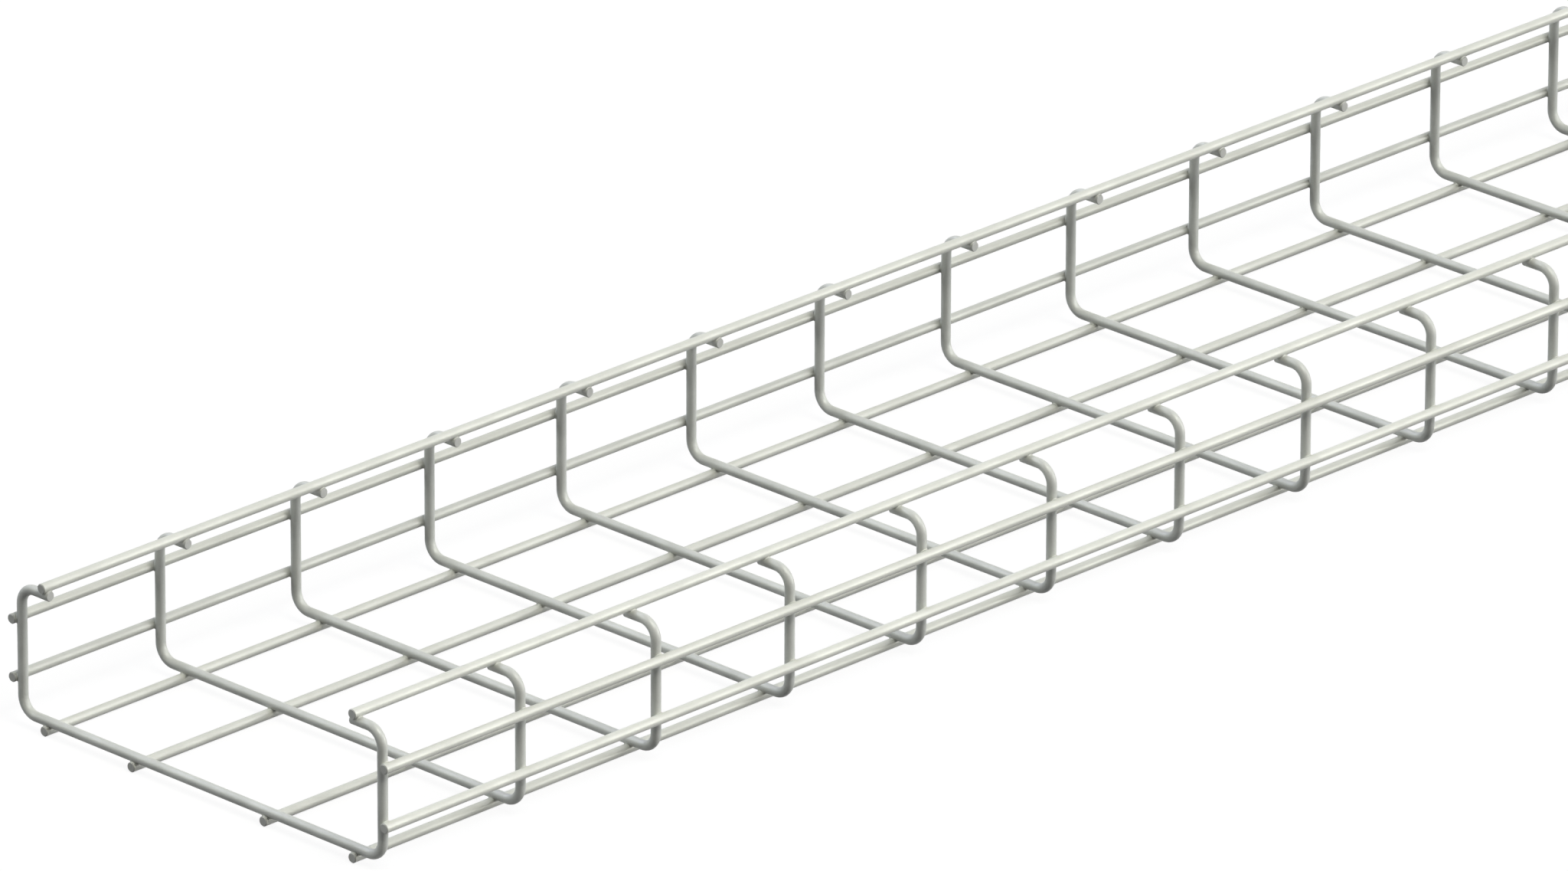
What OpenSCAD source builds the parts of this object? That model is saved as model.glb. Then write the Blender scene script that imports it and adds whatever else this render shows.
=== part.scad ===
// Wire mesh cable basket: one length of welded wire tray with inward flanges.
// Bent cross wires stand on four bottom wires and carry two wires on each side and one on each flange.
// X runs along the tray, Y across it and Z up. The origin is on the floor under the middle of the tray.

/* [Tray] */
// Length of the long wires from end to end
tray_length = 3000; // [2000:50:3400]
// Clear width between the side walls
inside_w = 200; // [150:5:300]
// Clear height between the bottom runs and the flanges
inside_h = 50; // [50:1:100]

/* [Wire] */
// Diameter of every wire
wire_d = 4.2; // [3:0.1:5]
// How far two wires are pressed into each other at a weld
weld_sink = 0.8; // [0.2:0.1:1]
// Small chamfer round each cut end
cut_chamfer = 0.3; // [0.1:0.05:0.6]

/* [Cross wires] */
// Number of cross wires
cross_wire_count = 41; // [21:1:49]
// Centreline radius of the four bends
bend_r = 7.5; // [6:0.5:10]
// How far each straight stretch laps the bend next to it, to make one solid of them
bend_lap = 0.01; // [0.01:0.01:0.02]
// How far each flange runs in past the centreline of its top wire
flange_tip = 2.5; // [2:0.1:12]

/* [Long wires] */
// From each end of the tray to the centreline of its first cross wire
end_overhang = 2.9; // [0:0.1:30]
// Spacing of the two middle bottom wires
middle_spacing = 75; // [40:1:100]
// From the centreline of a side to the outer bottom wire
bottom_inset = 14.6; // [13:0.1:18]
// Spacing of the two wires on a side, which are centred on its height
side_spacing = 25; // [15:1:28]
// From the centreline of a side to the top wire
top_inset = 14.1; // [13:0.1:25]

/* [Hidden] */
$fn = 48;
wire_r = wire_d / 2;
weld_pitch = wire_d - weld_sink;                // between the centrelines of two welded wires
half_w = (inside_w + wire_d) / 2;               // middle of the tray to the centreline of a side
side_h = inside_h + wire_d;                     // centreline of the bottom run to that of the flange
cross_z = wire_r + weld_pitch;                  // centreline of the bottom run above the floor
top_z = cross_z + side_h;                       // centreline of the flange above the floor
flange_reach = top_inset + flange_tip;          // centreline of a side to the end of its flange
first_x = end_overhang - tray_length / 2;
cross_pitch = (tray_length - 2 * end_overhang) / (cross_wire_count - 1);
run_end = half_w - bend_r;                      // middle of the tray to the end of the bottom run
side_start = cross_z + bend_r;                  // where a side leaves its bottom bend
side_end = top_z - bend_r;                      // where it runs into its top bend

// Long wires: name, distance across and height of the centreline
bottom_wires = [
    ["bottom_wire_1", half_w - bottom_inset, wire_r],
    ["bottom_wire_2", middle_spacing / 2, wire_r],
    ["bottom_wire_3", -middle_spacing / 2, wire_r],
    ["bottom_wire_4", bottom_inset - half_w, wire_r]
];
side_y = half_w + weld_pitch;
lower_z = cross_z + (side_h - side_spacing) / 2;
upper_z = cross_z + (side_h + side_spacing) / 2;
side_wires = [
    ["left_side_wire_lower", side_y, lower_z],
    ["left_side_wire_upper", side_y, upper_z],
    ["right_side_wire_lower", -side_y, lower_z],
    ["right_side_wire_upper", -side_y, upper_z]
];
top_wires = [
    ["left_top_wire", half_w - top_inset, top_z + weld_pitch],
    ["right_top_wire", top_inset - half_w, top_z + weld_pitch]
];
long_wires = concat(bottom_wires, side_wires, top_wires);

function cross_name(i) = str("cross_wire_", i < 10 ? "0" : "", i);
function cross_x(i) = first_x + (i - 1) * cross_pitch;

// Straight wire along the Z axis between two heights. A cut end has a chamfer, and an end that runs on
// into a bend laps it a little.
module straight_wire(from, to, cut_from = true, cut_to = true) {
    first = cut_from
        ? [[0, from], [wire_r - cut_chamfer, from], [wire_r, from + cut_chamfer]]
        : [[0, from - bend_lap], [wire_r, from - bend_lap]];
    last = cut_to
        ? [[wire_r, to - cut_chamfer], [wire_r - cut_chamfer, to], [0, to]]
        : [[wire_r, to + bend_lap], [0, to + bend_lap]];
    rotate_extrude()
        polygon(concat(first, last));
}

// Quarter bend in the YZ plane about the X axis, from +Y round to +Z
module bend() {
    rotate([90, 0, 90])
        rotate_extrude(angle = 90)
            translate([bend_r, 0])
                circle(wire_r);
}

// The side of a cross wire at +Y: bottom bend, side, top bend and flange
module cross_side() {
    translate([0, run_end, side_start])
        rotate([-90, 0, 0])
            bend();
    translate([0, half_w, 0])
        straight_wire(side_start, side_end, cut_from = false, cut_to = false);
    translate([0, run_end, side_end])
        bend();
    translate([0, 0, top_z])
        rotate([-90, 0, 0])
            straight_wire(half_w - flange_reach, run_end, cut_to = false);
}

// Cross wire with a saddle pressed in by each long wire that is welded to it
module cross_wire(i) {
    saddle_length = 3 * wire_d;
    color([0.76, 0.78, 0.77])
        translate([cross_x(i), 0, 0])
            difference() {
                union() {
                    translate([0, 0, cross_z])
                        rotate([-90, 0, 0])
                            straight_wire(-run_end, run_end, cut_from = false, cut_to = false);
                    cross_side();
                    mirror([0, 1, 0]) cross_side();
                }
                for (w = long_wires)
                    translate([-saddle_length / 2, w[1], w[2]])
                        rotate([0, 90, 0])
                            cylinder(h = saddle_length, r = wire_r);
            }
}

// Long wire through the point where it crosses the YZ plane
module long_wire(y, z) {
    color([0.85, 0.86, 0.82])
        translate([0, y, z])
            rotate([0, 90, 0])
                straight_wire(-tray_length / 2, tray_length / 2);
}

for (i = [1:cross_wire_count])
    cross_wire(i);
for (w = long_wires)
    long_wire(w[1], w[2]);
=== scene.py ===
import math
import random

import bmesh
import bpy
from mathutils import Matrix, Vector


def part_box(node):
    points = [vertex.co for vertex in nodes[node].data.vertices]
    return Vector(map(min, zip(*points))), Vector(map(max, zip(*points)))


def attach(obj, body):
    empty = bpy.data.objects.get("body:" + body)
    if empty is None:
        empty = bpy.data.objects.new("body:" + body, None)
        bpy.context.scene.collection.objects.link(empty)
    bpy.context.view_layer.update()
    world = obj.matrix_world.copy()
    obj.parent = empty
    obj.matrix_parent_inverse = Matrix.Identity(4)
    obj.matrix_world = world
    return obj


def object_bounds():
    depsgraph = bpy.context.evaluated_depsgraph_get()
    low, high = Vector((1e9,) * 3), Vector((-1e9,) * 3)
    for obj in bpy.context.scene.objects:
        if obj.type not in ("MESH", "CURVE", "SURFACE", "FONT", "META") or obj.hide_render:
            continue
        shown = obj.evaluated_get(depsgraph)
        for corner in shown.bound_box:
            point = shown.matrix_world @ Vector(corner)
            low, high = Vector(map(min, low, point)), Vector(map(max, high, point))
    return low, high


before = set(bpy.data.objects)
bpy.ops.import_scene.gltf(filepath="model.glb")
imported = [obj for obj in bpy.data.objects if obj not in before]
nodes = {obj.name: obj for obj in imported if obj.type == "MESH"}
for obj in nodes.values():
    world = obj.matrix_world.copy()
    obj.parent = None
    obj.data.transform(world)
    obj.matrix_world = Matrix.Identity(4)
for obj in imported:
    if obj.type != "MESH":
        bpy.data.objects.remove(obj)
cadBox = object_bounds()

# Everything is in metres. X runs along the tray, Y across it and Z up, with the floor at Z 0.
crossNames = sorted(n for n in nodes if n.startswith("cross_wire"))
longNames = sorted(n for n in nodes if n not in crossNames)
print("frame:", len(crossNames), "cross wires and", len(longNames), "long wires")


def middle(name):
    low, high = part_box(name)
    return (Vector(low) + Vector(high)) / 2


def readTray():
    # Sizes that the welds and the finishes need, all from the wires themselves.
    first, last = middle(crossNames[0]), middle(crossNames[-1])
    low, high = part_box(crossNames[0])
    wire = high[0] - low[0]
    legY = high[1] - wire / 2
    floorRunZ = low[2] + wire / 2
    flangeZ = high[2] - wire / 2
    tipPastTopWire = 0.0025     # a flange tip ends this far inside the middle of the top wire
    crossings = []
    for name in longNames:
        at = middle(name)
        if "side" in name:
            along, toCross = Vector((0, 0, 1)), Vector((0, math.copysign(legY, at.y) - at.y, 0))
        elif "top" in name:
            along, toCross = Vector((0, 1, 0)), Vector((0, 0, flangeZ - at.z))
        else:
            along, toCross = Vector((0, 1, 0)), Vector((0, 0, floorRunZ - at.z))
        crossings.append({"wire": name, "at": at, "along": along, "toCross": toCross})
    return {
        "wire": wire,
        "firstX": first.x,
        "pitch": (last.x - first.x) / (len(crossNames) - 1),
        "endX": cadBox[1][0],
        "legY": legY,
        "tipY": min(abs(c["at"].y) for c in crossings if "top" in c["wire"]) - tipPastTopWire,
        "crossings": crossings,
    }


tray = readTray()
print("tray: wire %.1f mm, pitch %.2f mm" % (tray["wire"] * 1000, tray["pitch"] * 1000))

cameraView = {
    "aim": Vector((-1.12782, 0.04389, 0.03271)),
    "azimuth": -45.43,
    "elevation": 22.43,
    "roll": 0.15,
    "distance": 7.073,
    "lens": 399.0,
    "sensor": 36.0,
    "sees": (0.05, 100),        # nearest and furthest, in metres
}


def makeCamera(view):
    az, el = math.radians(view["azimuth"]), math.radians(view["elevation"])
    look = Vector((-math.cos(el) * math.sin(az), math.cos(el) * math.cos(az), -math.sin(el)))
    right = Vector((math.cos(az), math.sin(az), 0))
    up = right.cross(look)
    roll = math.radians(view["roll"])
    camX = right * math.cos(roll) + up * math.sin(roll)
    camY = up * math.cos(roll) - right * math.sin(roll)
    data = bpy.data.cameras.new("camera")
    data.lens, data.sensor_width = view["lens"], view["sensor"]
    data.clip_start, data.clip_end = view["sees"]
    cam = bpy.data.objects.new("camera", data)
    turned = Matrix((camX, camY, -look)).transposed().to_4x4()
    cam.matrix_world = Matrix.Translation(view["aim"] - look * view["distance"]) @ turned
    bpy.context.collection.objects.link(cam)
    bpy.context.scene.camera = cam


makeCamera(cameraView)
print("camera ready")


# Small helpers for shader trees.
def addNode(tree, kind, **settings):
    node = tree.nodes.new(kind)
    for key, value in settings.items():
        setattr(node, key, value)
    return node


def feed(tree, socket, value):
    if isinstance(value, bpy.types.NodeSocket):
        tree.links.new(value, socket)
    else:
        socket.default_value = value


def maths(tree, operation, *values, clamp=False):
    node = addNode(tree, "ShaderNodeMath", operation=operation, use_clamp=clamp)
    for socket, value in zip(node.inputs, values):
        feed(tree, socket, value)
    return node.outputs[0]


def vectorMaths(tree, operation, *values):
    node = addNode(tree, "ShaderNodeVectorMath", operation=operation)
    for socket, value in zip(node.inputs, values):
        feed(tree, socket, value)
    return node.outputs["Value" if operation == "DISTANCE" else "Vector"]


def ramp(tree, value, fromLow, fromHigh, toLow=0.0, toHigh=1.0):
    node = addNode(tree, "ShaderNodeMapRange", interpolation_type="SMOOTHSTEP")
    for socket, v in zip(node.inputs, (value, fromLow, fromHigh, toLow, toHigh)):
        feed(tree, socket, v)
    return node.outputs["Result"]


def noise(tree, vector, scale, stretch=(1, 1, 1), detail=2.0, rough=0.5):
    mapping = addNode(tree, "ShaderNodeMapping")
    feed(tree, mapping.inputs["Vector"], vector)
    feed(tree, mapping.inputs["Scale"], stretch)
    node = addNode(tree, "ShaderNodeTexNoise")
    feed(tree, node.inputs["Vector"], mapping.outputs["Vector"])
    feed(tree, node.inputs["Scale"], scale)
    feed(tree, node.inputs["Detail"], detail)
    feed(tree, node.inputs["Roughness"], rough)
    return node.outputs["Fac"]


def mixValue(tree, factor, a, b):
    node = addNode(tree, "ShaderNodeMix")
    for i, value in ((0, factor), (2, a), (3, b)):      # the float sockets of a Mix node
        feed(tree, node.inputs[i], value)
    return node.outputs[0]


def mixColour(tree, factor, a, b):
    node = addNode(tree, "ShaderNodeMix", data_type="RGBA")
    for i, value in ((0, factor), (6, a), (7, b)):      # the colour sockets of a Mix node
        feed(tree, node.inputs[i], value)
    return node.outputs[2]


def weighted(tree, parts):
    total = None
    for value, weight in parts:
        part = maths(tree, "MULTIPLY", value, weight)
        total = part if total is None else maths(tree, "ADD", total, part)
    return total


def newGroup(name, inputs, outputs):
    tree = bpy.data.node_groups.new(name, "ShaderNodeTree")
    for label, kind, default in inputs:
        socket = tree.interface.new_socket(name=label, in_out="INPUT", socket_type=kind)
        if default is not None:
            socket.default_value = default
    for label, kind in outputs:
        tree.interface.new_socket(name=label, in_out="OUTPUT", socket_type=kind)
    return tree, tree.nodes.new("NodeGroupInput").outputs, tree.nodes.new("NodeGroupOutput").inputs


def placeGroup(tree, group, values):
    node = addNode(tree, "ShaderNodeGroup", node_tree=group)
    for label, value in values.items():
        feed(tree, node.inputs[label], value)
    return node.outputs


dieLines = {
    "along": 22,                # noise cells per metre along the wire
    "coarse": (1500, 3.0),      # cells per metre across the wire, and noise detail
    "fine": (4200, 1.0),
    "bendFrom": 0.0035,         # from here to there inside the leg the lines turn from Y to Z
    "bendTo": 0.0015,
}


# Lengthwise die lines: along X on a long wire, along Y or Z on the runs of a cross wire.
def makeDrawnLines(look, legY):
    tree, given, out = newGroup(
        "drawnLines",
        [("Vector", "NodeSocketVector", None), ("Crosswise", "NodeSocketFloat", 0.0)],
        [("Lines", "NodeSocketFloat"), ("Fine", "NodeSocketFloat")])
    split = addNode(tree, "ShaderNodeSeparateXYZ")
    feed(tree, split.inputs[0], given["Vector"])
    offMiddle = maths(tree, "ABSOLUTE", split.outputs["Y"])
    onLeg = ramp(tree, offMiddle, legY - look["bendFrom"], legY - look["bendTo"])
    along = look["along"]
    for label, (across, detail) in (("Lines", look["coarse"]), ("Fine", look["fine"])):
        alongX = noise(tree, given["Vector"], 1.0, (along, across, across), detail)
        alongY = noise(tree, given["Vector"], 1.0, (across, along, across), detail)
        alongZ = noise(tree, given["Vector"], 1.0, (across, across, along), detail)
        onCross = mixValue(tree, onLeg, alongY, alongZ)
        feed(tree, out[label], mixValue(tree, given["Crosswise"], alongX, onCross))
    return tree


platingClouds = {
    "patchNoise": {"detail": 4.0, "rough": 0.55},
    "patchRange": (0.32, 0.68),     # noise values at the dull and the bright end
    "speckleNoise": {"detail": 2.0, "rough": 0.6},
    "speckleRange": (0.3, 0.7),
    "finer": 16.0,                  # the speckle is this many times smaller than the patches
}


# Cloudy plating: broad patches, and a fine crystal speckle.
def makeZincCloud(look):
    tree, given, out = newGroup(
        "zincCloud",
        [("Vector", "NodeSocketVector", None), ("Patch Size", "NodeSocketFloat", 0.012),
         ("Seed", "NodeSocketFloat", 0.0)],
        [("Patches", "NodeSocketFloat"), ("Speckle", "NodeSocketFloat")])
    spot = addNode(tree, "ShaderNodeCombineXYZ")
    for socket in spot.inputs:
        feed(tree, socket, given["Seed"])
    moved = vectorMaths(tree, "ADD", given["Vector"], spot.outputs[0])
    scale = maths(tree, "DIVIDE", 1.0, given["Patch Size"])
    patches = noise(tree, moved, scale, **look["patchNoise"])
    feed(tree, out["Patches"], ramp(tree, patches, *look["patchRange"]))
    speckle = noise(tree, moved, maths(tree, "MULTIPLY", scale, look["finer"]), **look["speckleNoise"])
    feed(tree, out["Speckle"], ramp(tree, speckle, *look["speckleRange"]))
    return tree


# How near a point is to a weld, for the painted shade and the rougher crease at the crossings: the
# crossings repeat along X and mirror across Y.
def makeWeldShade(tray):
    tree, given, out = newGroup(
        "weldShade",
        [("Vector", "NodeSocketVector", None), ("Crease Reach", "NodeSocketFloat", 0.0008),
         ("Halo Reach", "NodeSocketFloat", 0.004)],
        [("Crease", "NodeSocketFloat"), ("Halo", "NodeSocketFloat")])
    split = addNode(tree, "ShaderNodeSeparateXYZ")
    feed(tree, split.inputs[0], given["Vector"])
    fromFirst = maths(tree, "SUBTRACT", split.outputs["X"], tray["firstX"])
    steps = maths(tree, "DIVIDE", fromFirst, tray["pitch"])
    offStep = maths(tree, "SUBTRACT", steps, maths(tree, "ROUND", steps))
    offX = maths(tree, "MULTIPLY", offStep, tray["pitch"])
    offY = maths(tree, "ABSOLUTE", split.outputs["Y"])
    here = addNode(tree, "ShaderNodeCombineXYZ")
    for socket, value in zip(here.inputs, (offX, offY, split.outputs["Z"])):
        feed(tree, socket, value)
    distance = None
    for crossing in tray["crossings"]:
        spot = crossing["at"] + crossing["toCross"] / 2
        if spot.y < 0:
            continue
        one = vectorMaths(tree, "DISTANCE", here.outputs[0], (0, spot.y, spot.z))
        distance = one if distance is None else maths(tree, "MINIMUM", distance, one)
    seam = tray["wire"] * 0.36      # the weld line lies this far from the middle of a crossing
    for label in ("Crease", "Halo"):
        far = maths(tree, "ADD", given[label + " Reach"], seam)
        feed(tree, out[label], ramp(tree, distance, far, seam))
    return tree


cutEnds = {
    "depth": 0.0004,            # a cut and its rim lie within this of the wire's end
    "square": 0.97,             # a face this square to the wire is the cut, and the rest is its rim
    "tipsAbove": 0.05,          # height over which the flange tips are
    "shearLines": (5200, 5200, 500),    # noise cells per metre along X, Y and Z
}


# Sheared faces at the wire ends: square to X on a long wire, square to Y at a flange tip.
def makeCutFace(look, tray):
    tree, given, out = newGroup(
        "cutFace",
        [("Vector", "NodeSocketVector", None), ("Face Normal", "NodeSocketVector", None)],
        [("Face", "NodeSocketFloat"), ("Rim", "NodeSocketFloat"), ("Shear", "NodeSocketFloat")])
    at, facing = addNode(tree, "ShaderNodeSeparateXYZ"), addNode(tree, "ShaderNodeSeparateXYZ")
    feed(tree, at.inputs[0], given["Vector"])
    feed(tree, facing.inputs[0], given["Face Normal"])
    x, y = maths(tree, "ABSOLUTE", at.outputs["X"]), maths(tree, "ABSOLUTE", at.outputs["Y"])
    nearEnd = maths(tree, "GREATER_THAN", x, tray["endX"] - look["depth"])
    inside = maths(tree, "LESS_THAN", y, tray["tipY"] + look["depth"])
    onFlange = maths(tree, "GREATER_THAN", at.outputs["Z"], look["tipsAbove"])
    nearTip = maths(tree, "MULTIPLY", inside, onFlange)
    squareX = maths(tree, "GREATER_THAN", maths(tree, "ABSOLUTE", facing.outputs["X"]), look["square"])
    squareY = maths(tree, "GREATER_THAN", maths(tree, "ABSOLUTE", facing.outputs["Y"]), look["square"])
    endFace = maths(tree, "MULTIPLY", nearEnd, squareX)
    tipFace = maths(tree, "MULTIPLY", nearTip, squareY)
    face = maths(tree, "MAXIMUM", endFace, tipFace)
    near = maths(tree, "MAXIMUM", nearEnd, nearTip)
    feed(tree, out["Face"], face)
    feed(tree, out["Rim"], maths(tree, "SUBTRACT", near, face, clamp=True))
    shear = noise(tree, given["Vector"], 1.0, look["shearLines"])
    feed(tree, out["Shear"], maths(tree, "MULTIPLY", shear, face))
    return tree


drawnLines = makeDrawnLines(dieLines, tray["legY"])
zincCloud = makeZincCloud(platingClouds)
weldShade = makeWeldShade(tray)
cutFace = makeCutFace(cutEnds, tray)
print("shader groups ready")

# What every wire's zinc has in common.
wireZinc = {
    "metal": (0.06, 0.12),      # least and most, over the patches
    "shine": 0.3,
    "patchTone": 0.3,           # how far each effect moves the colour from dull to bright
    "speckleTone": 0.35,
    "lineTone": 0.35,
    "speckleGloss": 0.4,
    "lineGloss": 0.6,
    "glossRange": (0.25, 0.75),
    # Painted shade near the welds: how far it reaches and how strongly it darkens the colour, in the
    # crease and in a wider halo.
    "creaseReach": 0.0008,
    "paintedCreaseShade": 0.45,
    "creaseRoughness": 0.2,
    "haloReach": 0.004,
    "paintedHaloShade": 0.12,
    "cutRoughness": 0.1,
    "bump": 0.6,
    "lineDepth": 0.00005,
    "speckleHeight": 0.5,       # against the die lines' own height
    "shearHeight": 1.5,
}

crossZinc = {
    **wireZinc,
    "name": "crossWireZinc",
    "colour": (0.785, 0.805, 0.765),
    "dullColour": (0.733, 0.755, 0.721),
    # the dark colour painted as shade into the creases and halos at the welds
    "paintedCreaseShadeColour": (0.33, 0.335, 0.32),
    "cutColour": (0.68, 0.69, 0.67),
    # the rim's colour, darker than the cut face as painted shade that damps the chamfer's highlight
    "paintedShadeRimColour": (0.58, 0.59, 0.57),
    "roughness": (0.36, 0.43),
    "patchSize": 0.016,
    "crosswise": 1.0,
    "seed": 3.1,
}

longZinc = {
    **wireZinc,
    "name": "longWireZinc",
    "colour": (0.84, 0.855, 0.793),
    "dullColour": (0.785, 0.802, 0.749),
    # the dark colour painted as shade into the creases and halos at the welds
    "paintedCreaseShadeColour": (0.34, 0.34, 0.31),
    "cutColour": (0.68, 0.69, 0.66),
    # the rim's colour, darker than the cut face as painted shade that damps the chamfer's highlight
    "paintedShadeRimColour": (0.58, 0.59, 0.56),
    "roughness": (0.35, 0.42),
    "patchSize": 0.021,
    "crosswise": 0.0,
    "seed": 7.7,
}

# Lit and shaded copies of the long-wire zinc: the left side wires are painted darker as shade, and the
# right side and right top wires lighter as painted light.
shadedLongZinc = {
    **longZinc,
    "name": "leftPaintedShadeZinc",
    "colour": (0.755, 0.768, 0.712),
    "dullColour": (0.705, 0.72, 0.673),
    "seed": 5.2,
}
litLongZinc = {
    **longZinc,
    "name": "rightPaintedLightZinc",
    "colour": (0.885, 0.9, 0.835),
    "dullColour": (0.83, 0.847, 0.79),
    "seed": 9.4,
}
litOrShadedZincOf = {
    "left_side_wire_lower": shadedLongZinc,
    "left_side_wire_upper": shadedLongZinc,
    "right_side_wire_lower": litLongZinc,
    "right_side_wire_upper": litLongZinc,
    "right_top_wire": litLongZinc,
}


def makeZinc(look):
    material = bpy.data.materials.new(look["name"])
    material.use_nodes = True
    tree = material.node_tree
    shader = tree.nodes["Principled BSDF"]
    shader.inputs["Specular IOR Level"].default_value = look["shine"]
    place = addNode(tree, "ShaderNodeTexCoord").outputs["Object"]
    facing = addNode(tree, "ShaderNodeNewGeometry").outputs["True Normal"]
    lines = placeGroup(tree, drawnLines, {"Vector": place, "Crosswise": look["crosswise"]})
    cloud = placeGroup(tree, zincCloud, {
        "Vector": place, "Patch Size": look["patchSize"], "Seed": look["seed"]})
    weld = placeGroup(tree, weldShade, {
        "Vector": place, "Crease Reach": look["creaseReach"], "Halo Reach": look["haloReach"]})
    cut = placeGroup(tree, cutFace, {"Vector": place, "Face Normal": facing})

    tone = weighted(tree, (
        (cloud["Patches"], look["patchTone"]),
        (cloud["Speckle"], look["speckleTone"]),
        (lines["Fine"], look["lineTone"])))
    colour = mixColour(tree, tone, (*look["dullColour"], 1), (*look["colour"], 1))
    # Painted shade: near each weld the colour is pulled towards the dark crease colour, strongly in the
    # crease and faintly over a wider halo, where shade falls between the crossed wires.
    haloShadePaint = maths(tree, "MULTIPLY", weld["Halo"], look["paintedHaloShade"])
    creaseShadePaint = maths(tree, "MULTIPLY", weld["Crease"], look["paintedCreaseShade"])
    # Painted shade: the rim colour is darker than the cut face, to damp the highlight that the chamfer
    # round each cut catches.
    for cover, over in ((haloShadePaint, "paintedCreaseShadeColour"), (creaseShadePaint, "paintedCreaseShadeColour"),
                        (cut["Face"], "cutColour"), (cut["Rim"], "paintedShadeRimColour")):
        colour = mixColour(tree, cover, colour, (*look[over], 1))
    feed(tree, shader.inputs["Base Color"], colour)

    gloss = weighted(tree, ((cloud["Speckle"], look["speckleGloss"]), (lines["Fine"], look["lineGloss"])))
    smooth, dull = look["roughness"]
    rough = ramp(tree, gloss, *look["glossRange"], dull, smooth)
    creaseRough = maths(tree, "MULTIPLY", weld["Crease"], look["creaseRoughness"])
    cutRough = maths(tree, "MULTIPLY", cut["Face"], look["cutRoughness"])
    rough = maths(tree, "ADD", rough, creaseRough, clamp=True)
    feed(tree, shader.inputs["Roughness"], maths(tree, "ADD", rough, cutRough))
    feed(tree, shader.inputs["Metallic"], ramp(tree, cloud["Patches"], 0.0, 1.0, *look["metal"]))

    bump = addNode(tree, "ShaderNodeBump")
    bump.inputs["Strength"].default_value = look["bump"]
    bump.inputs["Distance"].default_value = look["lineDepth"]
    height = weighted(tree, (
        (lines["Lines"], 1.0),
        (cloud["Speckle"], look["speckleHeight"]),
        (cut["Shear"], look["shearHeight"])))
    feed(tree, bump.inputs["Height"], height)
    feed(tree, shader.inputs["Normal"], bump.outputs["Normal"])
    return material


finishes = {look["name"]: makeZinc(look) for look in (crossZinc, longZinc, shadedLongZinc, litLongZinc)}
finishOf = {name: finishes[crossZinc["name"]] for name in crossNames}
# the left side wires get the darker copy as painted shade and the right ones the lighter copy as painted
# light
finishOf.update({name: finishes[litOrShadedZincOf.get(name, longZinc)["name"]] for name in longNames})
for name, finish in finishOf.items():
    slots = nodes[name].data.materials
    slots.clear()
    slots.append(finish)
print("zinc finishes on", len(nodes), "wires")

weldFillet = {
    "radius": 0.0005,
    "unevenness": 0.2,
    "around": 32,
    "across": 6,
    "sink": 0.00003,            # the fillet's two edges run this far under the wires' surfaces
    "rootDepth": 0.00025,       # its hidden back lies this deep
    "seed": 41,
}


def filletRing(mesh, centre, crossing, fillet, dice):
    # A rolling ball of the fillet's radius rests in the crease between two crossed wires.
    radius, gap = tray["wire"] / 2 - fillet["sink"], crossing["toCross"].length
    alongLong, alongCross = Vector((1, 0, 0)), crossing["along"]
    normal = crossing["toCross"].normalized()
    phases = [dice.uniform(0, 2 * math.pi) for _ in range(3)]
    rings = []
    for i in range(fillet["around"]):
        turn = 2 * math.pi * i / fillet["around"]
        wave = sum(math.sin(k * turn + p) for k, p in zip((1, 2, 3), phases)) / 3
        ball = fillet["radius"] * (1 + fillet["unevenness"] * wave)
        reach = radius + ball
        spread = reach - gap / 2
        height = gap / 2 + spread * math.cos(2 * turn)
        u = math.cos(turn) * math.sqrt(2 * spread * (reach + gap - height))
        v = math.sin(turn) * math.sqrt(2 * spread * (reach + height))
        shrink = radius / reach
        ballAt = Vector((u, v, height))
        onLong = Vector((u, v * shrink, height * shrink))
        onCross = Vector((u * shrink, v, gap + (height - gap) * shrink))
        fromLong, fromCross = (onLong - ballAt).normalized(), (onCross - ballAt).normalized()
        opening = fromLong.angle(fromCross)
        profile = []
        for j in range(fillet["across"] + 1):
            t = j / fillet["across"]
            a, b = math.sin((1 - t) * opening), math.sin(t * opening)
            profile.append(ballAt + (fromLong * a + fromCross * b) / math.sin(opening) * ball)
        profile.append(onCross + fromCross * fillet["rootDepth"])
        profile.append(onLong + fromLong * fillet["rootDepth"])
        rings.append([
            mesh.verts.new(centre + alongLong * p.x + alongCross * p.y + normal * p.z) for p in profile])
    for ring, following in zip(rings, rings[1:] + rings[:1]):
        count = len(ring)
        for j in range(count):
            after = (j + 1) % count
            mesh.faces.new((ring[j], ring[after], following[after], following[j]))
        for j in (0, fillet["across"]):
            mesh.edges.get((ring[j], following[j])).smooth = False


def makeWeldFillets(fillet):
    for count, crossing in enumerate(tray["crossings"]):
        dice = random.Random(fillet["seed"] + count)
        mesh = bmesh.new()
        for i in range(len(crossNames)):
            centre = Vector((tray["firstX"] + i * tray["pitch"], crossing["at"].y, crossing["at"].z))
            filletRing(mesh, centre, crossing, fillet, dice)
        bmesh.ops.recalc_face_normals(mesh, faces=mesh.faces)
        for face in mesh.faces:
            face.smooth = True
        data = bpy.data.meshes.new("weld_fillets_" + crossing["wire"])
        mesh.to_mesh(data)
        mesh.free()
        data.materials.append(finishOf[crossing["wire"]])
        piece = bpy.data.objects.new(data.name, data)
        bpy.context.collection.objects.link(piece)
        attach(piece, "root")


makeWeldFillets(weldFillet)
print("weld fillets at", len(longNames) * len(crossNames), "crossings")

studioFloor = {
    "size": 60.0,
    "gap": 0.0002,              # under the wires, so that the two don't touch
    "seenColour": (0.15, 0.15, 0.15, 1),
    "bounceColour": (0.04, 0.04, 0.04, 1),
    "white": 0.9,
}


def whiteRays(tree):
    # 1 for the rays that see the backdrop itself: camera, glossy and transmission.
    path = addNode(tree, "ShaderNodeLightPath")
    seen = maths(tree, "MAXIMUM", path.outputs["Is Camera Ray"], path.outputs["Is Glossy Ray"])
    return maths(tree, "MAXIMUM", seen, path.outputs["Is Transmission Ray"])


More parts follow.
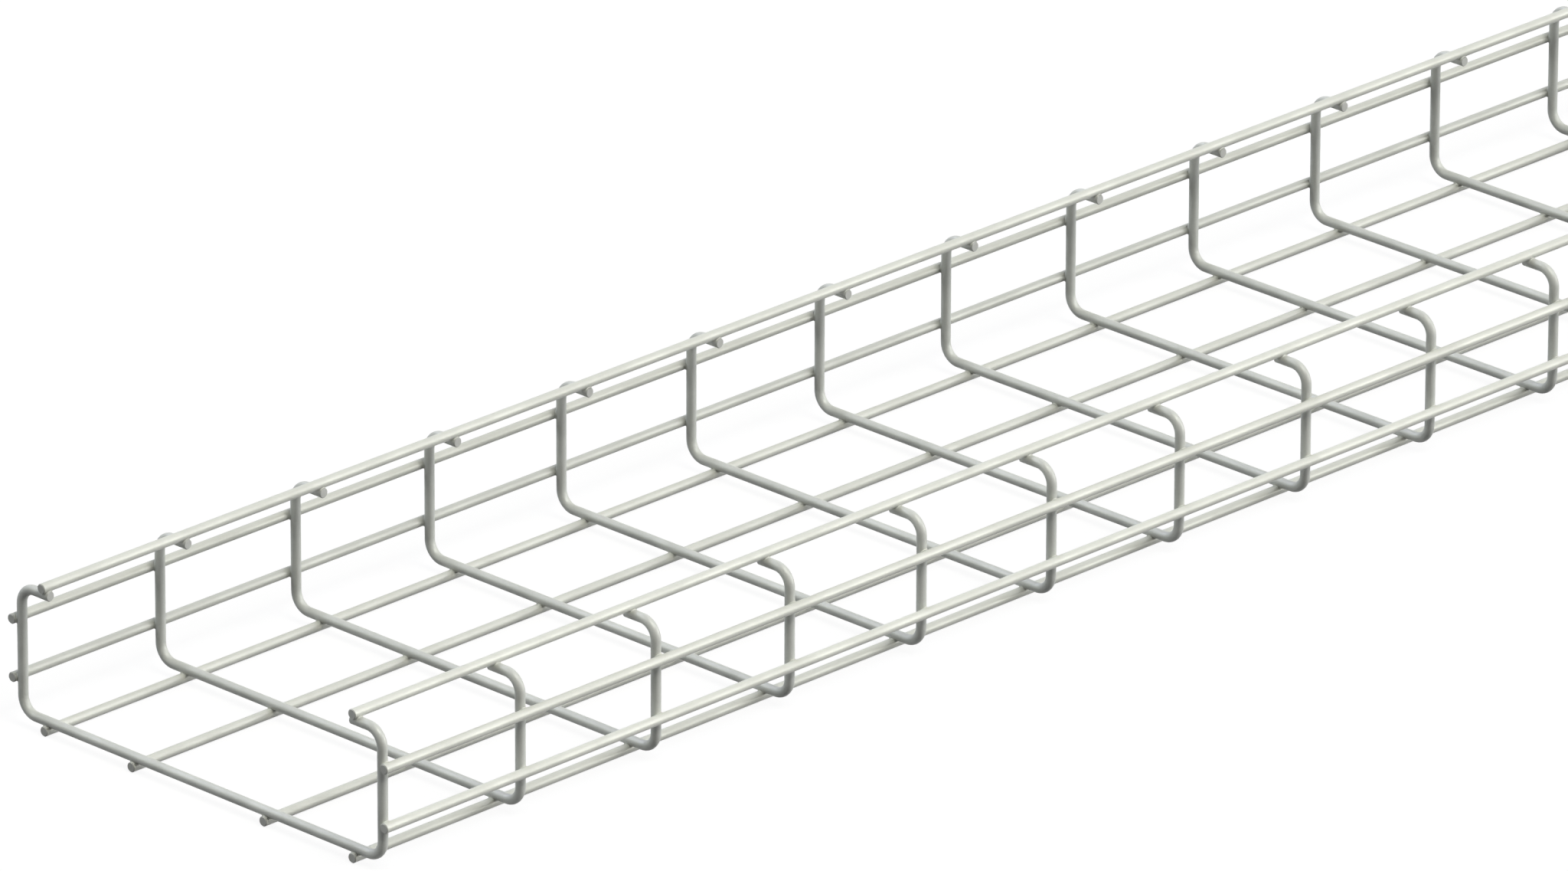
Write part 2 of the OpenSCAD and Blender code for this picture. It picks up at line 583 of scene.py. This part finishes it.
def makeFloor(look):
    mesh = bmesh.new()
    bmesh.ops.create_grid(mesh, x_segments=1, y_segments=1, size=look["size"] / 2)
    data = bpy.data.meshes.new("studio_floor")
    mesh.to_mesh(data)
    mesh.free()
    floor = bpy.data.objects.new("studio_floor", data)
    floor.location.z = -look["gap"]
    bpy.context.collection.objects.link(floor)
    material = bpy.data.materials.new("paleFloor")
    material.use_nodes = True
    tree = material.node_tree
    shader = tree.nodes["Principled BSDF"]
    shader.inputs["Roughness"].default_value = 1.0
    shader.inputs["Specular IOR Level"].default_value = 0.0
    shader.inputs["Emission Color"].default_value = (1, 1, 1, 1)
    seen = whiteRays(tree)
    colour = mixColour(tree, seen, look["bounceColour"], look["seenColour"])
    feed(tree, shader.inputs["Base Color"], colour)
    feed(tree, shader.inputs["Emission Strength"], maths(tree, "MULTIPLY", seen, look["white"]))
    data.materials.append(material)


makeFloor(studioFloor)

lampSoftness = 30               # width of each sun, in degrees
worldFill = 0.01                # the little light that comes from all round

# Soft lamps: which way each one stands, how high, how strong and its tint.
studioLamps = {
    "keyLamp": {"azimuth": 270, "elevation": 63, "strength": 0.44, "tint": (1.05, 1.03, 0.92)},
    "rightHighLamp": {"azimuth": 315, "elevation": 40, "strength": 0.15, "tint": (0.94, 0.96, 1.1)},
    "rightLowLamp": {"azimuth": 315, "elevation": 10, "strength": 0.36, "tint": (1.02, 1.01, 0.97)},
    "leftLamp": {"azimuth": 135, "elevation": 40, "strength": 0.2, "tint": (0.98, 1.02, 1.0)},
    "backLamp": {"azimuth": 90, "elevation": 40, "strength": 0.165, "tint": (0.89, 0.94, 1.17)},
}


def makeLamps(lamps):
    for name, lamp in lamps.items():
        az, el = math.radians(lamp["azimuth"]), math.radians(lamp["elevation"])
        toLamp = Vector((math.cos(el) * math.cos(az), math.cos(el) * math.sin(az), math.sin(el)))
        data = bpy.data.lights.new(name, "SUN")
        data.energy = lamp["strength"] * math.pi
        data.color = lamp["tint"]
        data.angle = math.radians(lampSoftness)
        sun = bpy.data.objects.new(name, data)
        sun.rotation_euler = toLamp.to_track_quat("Z", "Y").to_euler()
        sun.location = toLamp * 4       # only so that it is easy to see in the viewport
        bpy.context.collection.objects.link(sun)


def makeWorld():
    world = bpy.data.worlds.new("studioWorld")
    world.use_nodes = True
    tree = world.node_tree
    back = tree.nodes["Background"]
    back.inputs["Color"].default_value = (1, 1, 1, 1)
    feed(tree, back.inputs["Strength"], maths(tree, "MAXIMUM", whiteRays(tree), worldFill))
    bpy.context.scene.world = world


makeLamps(studioLamps)
makeWorld()
bpy.context.scene.view_settings.view_transform = "Standard"
print("floor, lamps and world ready")
